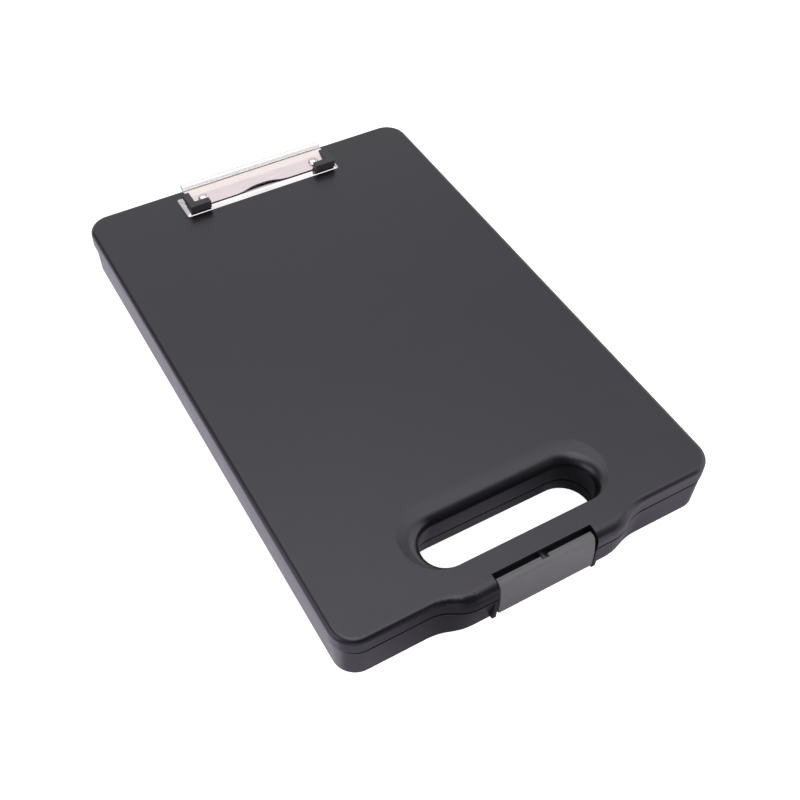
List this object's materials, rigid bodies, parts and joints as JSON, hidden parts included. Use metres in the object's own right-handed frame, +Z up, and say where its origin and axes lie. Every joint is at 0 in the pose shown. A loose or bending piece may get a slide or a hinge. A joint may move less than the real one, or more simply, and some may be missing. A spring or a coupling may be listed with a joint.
{
  "type": "storage clipboard box",
  "caption": "Flat storage clipboard: hinged case with a grip hole, a drop latch and a low-profile paper clip on the lid",
  "frame": {"origin": "on the flat underside, at the middle of the lid's straight-sided outline", "axes": "+X to the right seen from the latch, +Y from the latch to the hinge, +Z up out of the lid"},
  "size_m": [0.24, 0.3789, 0.0435],
  "materials": {
    "case_plastic": "fine satin",
    "latch_plastic": "satin",
    "nickel_sheet": "bright nickel plating",
    "steel_wire": "drawn",
    "spring_steel": "drawn",
    "rivet_steel": "satin",
    "grip_rubber": "matte"
  },
  "bodies": {
    "base": {"base_shell": "case_plastic", "hinge_pin_left": "steel_wire", "hinge_pin_right": "steel_wire", "latch_pin": "steel_wire"},
    "lid": {"lid_shell": "case_plastic", "clip_base_plate": "nickel_sheet", "clip_pivot_rod": "steel_wire", "clip_spring_left": "spring_steel", "clip_spring_right": "spring_steel", "clip_rivet_left": "rivet_steel", "clip_rivet_right": "rivet_steel", "clip_rivet_washer_left": "rivet_steel", "clip_rivet_washer_right": "rivet_steel"},
    "latch": {"latch_cover": "latch_plastic"},
    "lever": {"clip_lever": "nickel_sheet", "clip_grip_left": "grip_rubber", "clip_grip_right": "grip_rubber"}
  },
  "joints": [
    {"name": "lid_hinge", "type": "hinge", "parent": "base", "child": "lid", "pos_m": [0, 0.1854, 0.022], "axis": [-1, 0, 0], "range_deg": [0, 105]},
    {"name": "latch_pivot", "type": "hinge", "parent": "base", "child": "latch", "pos_m": [0, -0.1865, 0.0075], "axis": [1, 0, 0], "range_deg": [0, 88]},
    {"name": "clip_press", "type": "hinge", "parent": "lid", "child": "lever", "pos_m": [0, 0.165, 0.0364], "axis": [-1, 0, 0], "range_deg": [0, 16], "stiffness_Nm_per_rad": 0.6, "springref_deg": -14.32, "deforming": ["clip_spring_left", "clip_spring_right"]}
  ]
}
